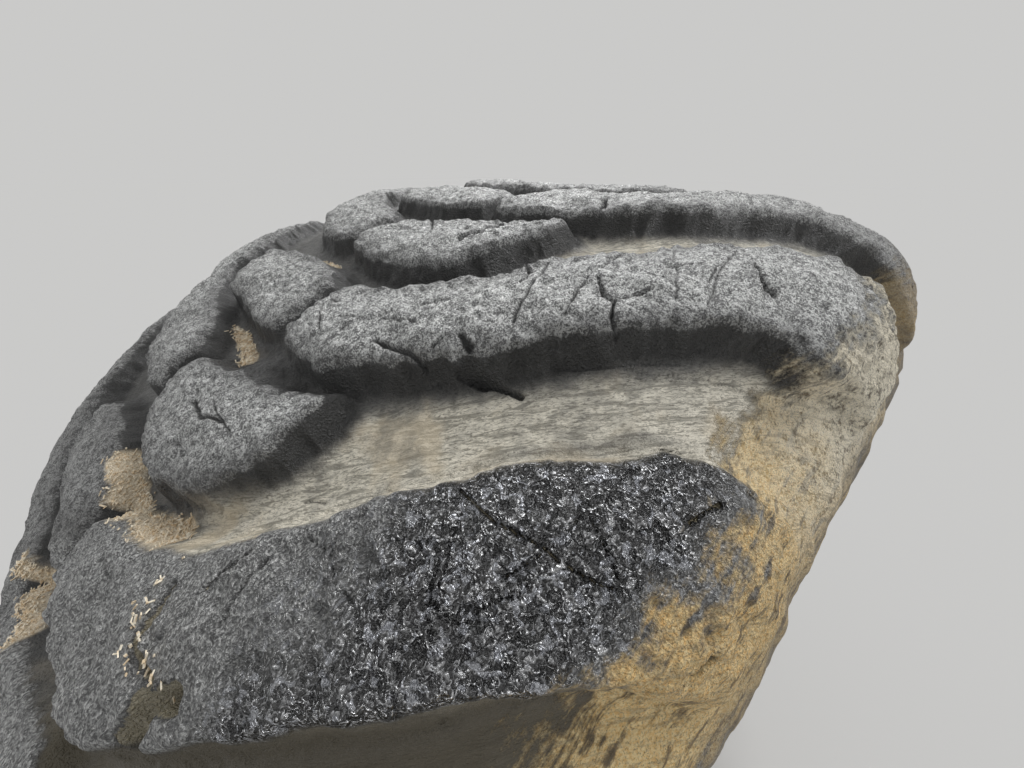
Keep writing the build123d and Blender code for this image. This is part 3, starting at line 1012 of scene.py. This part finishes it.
thin = (1 - nearby) * (clouds + 0.5 * wander + 0.4 * finer).between(0.4, 0.62)
beige = nearby * (1 - (turn + 9.0 * wander + 4.0 * finer).between(11, 25))
# Beige mud near the lug ends: its crevices are darkened as painted shade.
mud_crevice_shade = (0.35 * grit + 0.65 * pits).between(0.36, 0.52)
caked = beige.blend(caked, mud_crevice_shade.blend((0.23, 0.195, 0.14), (1.0, 0.91, 0.72)))
caked = (0.75 * thin).blend(caked, (0.25, 0.195, 0.125))
caked = (0.42 * creases.between(0.5, 0.62)).blend(caked, (0.23, 0.19, 0.13))
caked = (0.5 * crumbs.between(0.53, 0.66)).blend(caked, (0.07, 0.066, 0.058))
tint = mud.blend(tint, caked)
tint = (cut * 0.85).blend(tint, (0.004, 0.004, 0.004))
tint = (cut.between(0.7, 0.95) * soaked * top).blend(tint, (0.34, 0.3, 0.21))
sawn = (0.6 * crumbs + 0.4 * grit).between(0.38, 0.62)
tint = dust.blend(tint, sawn.blend((0.56, 0.43, 0.27), (1.0, 0.89, 0.7)))

# Its gloss and its fine relief.
gloss = 0.36 + 0.12 * (1 - worn) + 0.4 * mud + 0.22 * side - 0.2 * big_here + 0.16 * film
far_end = soaked * (1 - across.between(0.1, 0.2))
rough_top = (1 - 0.85 * floor) * (1 - 0.8 * side) * (1 - 0.5 * far_end)
height = (
    (0.0012 * crumbs + 0.0024 * grit) * rough_top * (1 - 0.7 * big_here)
    + (0.004 * beads * (1 - 0.7 * drops) + 0.0016 * drops) * big_here
    + 0.0013 * droplets * soaked * top
    + (0.0011 * wrinkles + 0.002 * creases) * floor + 0.0012 * mud + 0.0038 * runs * mud
    + (0.0034 * pits * beige - 0.002 * creases) * mud + 0.0015 * dust
)
shine = 0.9 * big_here + 0.4 * droplets * soaked * top * (1 - big_here)
feed(shader, Base_Color=tint, Roughness=gloss + 0.3 * dust, Metallic=shine, height=height)
shader.inputs["IOR"].default_value = 1.8

for piece in tyre_pieces:
    piece.data.materials.append(rubber)
    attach(piece, "wheel")
    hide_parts("tyre")

# Sawdust: pale slivers of wood from the logs that are carried, caught in the grooves beside the blocks.
# Each is a thin chip that lies loosely on the rubber.
wood, place, shader = started("sawdust")
tones = place.noise(0.003, 2.0, 0.6)
tint = tones.between(0.35, 0.65).blend((0.78, 0.61, 0.4), (1.0, 0.92, 0.76))
feed(shader, Base_Color=tint, Roughness=0.7 + 0.2 * tones, height=0.0003 * place.noise(0.0008, 2.0))
slivers_per_area = 320000
tries_each = 9000
pick = np.random.default_rng(5)
spots = []
for outline in sawdust:
    corners = unrolled(outline)
    low, high = np.min(corners, axis=0) - 0.004, np.max(corners, axis=0) + 0.004
    tries = low + (high - low) * pick.random((tries_each, 2))
    margin = 0.0045 * pick.random(tries_each) ** 4 - 0.001
    inside = from_outline(tries[:, 0], tries[:, 1], corners) < margin
    area = np.prod(high - low) * inside.mean()
    spots.append(tries[inside][:int(area * slivers_per_area)])
loose = [((160, 39.9), 9), ((169, 40.2), 12), ((183, 40.2), 12), ((195, 40.0), 8), ((150, 38.9), 6)]
for spot, count in loose:
    spots.append(np.array(unrolled([spot])[0]) + 0.004 * pick.normal(size=(count, 2)))
spots = np.concatenate(spots)
angle, across_at = spots[:, 0] / per_degree, spots[:, 1]
depth, marks = surface(angle, across_at, True)
y, r, ny, nr = profile(across_at)
lift = 0.0003 + 0.0016 * pick.random(len(spots))
y = y - (depth - lift) * ny + tyre_plane
r = r - (depth - lift) * nr
points, faces = [], []
for k, turn in enumerate(np.radians(angle)):
    outward = np.array([nr[k] * math.sin(turn), ny[k], nr[k] * math.cos(turn)])
    outward += 0.35 * pick.normal(size=3)
    outward /= np.linalg.norm(outward)
    along = np.cross(outward, pick.normal(size=3))
    along /= np.linalg.norm(along)
    beside = np.cross(outward, along)
    middle = np.array([r[k] * math.sin(turn), y[k], r[k] * math.cos(turn)])
    long, wide, thick = 0.0006 + 0.0016 * pick.random(), 0.0003 + 0.0004 * pick.random(), 0.00025
    base = len(points)
    for level in (-thick, thick):
        for a, b in ((-1, -0.7), (0.9, -1), (1, 0.4), (-0.8, 1)):
            points.append(middle + along * a * long + beside * b * wide + outward * level)
    faces += [tuple(base + i for i in face) for face in ((0, 3, 2, 1), (4, 5, 6, 7))]
    faces += [(base + i, base + (i + 1) % 4, base + 4 + (i + 1) % 4, base + 4 + i) for i in range(4)]
piece_from("sawdust_chips", (points, faces), wood, "tyre_rubber")

# Floor and light: a plain pale floor under the wheel, with soft studio light from above and behind.
# The far background, and what shiny faces mirror of it, has the lit floor's colour.
floor_tint = 0.6
sky_share = 0.48
floor_mesh = bpy.data.meshes.new("floor")
low = cad_box[0][2]
span = 60.0
corners = [(-span, -span, low), (span, -span, low), (span, span, low), (-span, span, low)]
floor_mesh.from_pydata(corners, [], [(0, 1, 2, 3)])
floor_piece = placed("floor", floor_mesh)
floor_finish, place, shader = started("floor")
floor_colour = (floor_tint, floor_tint * 0.99, floor_tint * 0.97)
shader.inputs["Base Color"].default_value = (*floor_colour, 1)
shader.inputs["Roughness"].default_value = 0.9
shader.inputs["Specular IOR Level"].default_value = 0.0
floor_piece.data.materials.append(floor_finish)

world = bpy.data.worlds.new("studio")
world.use_nodes = True
tree = world.node_tree
sky = tree.nodes["Background"]
sky_tint = (0.97, 0.985, 1.0)
sky.inputs["Color"].default_value = (*sky_tint, 1)
sky.inputs["Strength"].default_value = sky_share
lit_floor = [part * (above * sky_share + 1 - sky_share) for part, above in zip(floor_colour, sky_tint)]
rays = tree.nodes.new("ShaderNodeLightPath").outputs
shown = sum(Link(tree, rays[f"Is {kind} Ray"]) for kind in ("Camera", "Glossy", "Transmission"))
backdrop = shown.node("ShaderNodeBackground", {"Color": (*lit_floor, 1)})
both = shown.node("ShaderNodeMixShader", {0: shown, 1: Link(tree, sky.outputs[0]), 2: backdrop})
tree.links.new(both.socket, tree.nodes["World Output"].inputs["Surface"])
bpy.context.scene.world = world

lights = (
    ("key_light", 42, 20, 26, 0.56),
    ("back_light", 56, -45, 18, 0.3),
    ("high_light", 20, -30, 9, 0.14),
)
for name, slope, azimuth, softness, share in lights:
    sun = placed(name, bpy.data.lights.new(name, "SUN"))
    slope, azimuth = math.radians(slope), math.radians(azimuth)
    sun.data.angle = math.radians(softness)
    sun.data.energy = share * (1 - sky_share) * math.pi / math.cos(slope)
    flat = Vector((-math.cos(azimuth), math.sin(azimuth), 0))
    toward = flat * math.sin(slope) + Vector((0, 0, math.cos(slope)))
    sun.rotation_euler = toward.to_track_quat("Z", "Y").to_euler()

bpy.context.scene.view_settings.view_transform = "Standard"
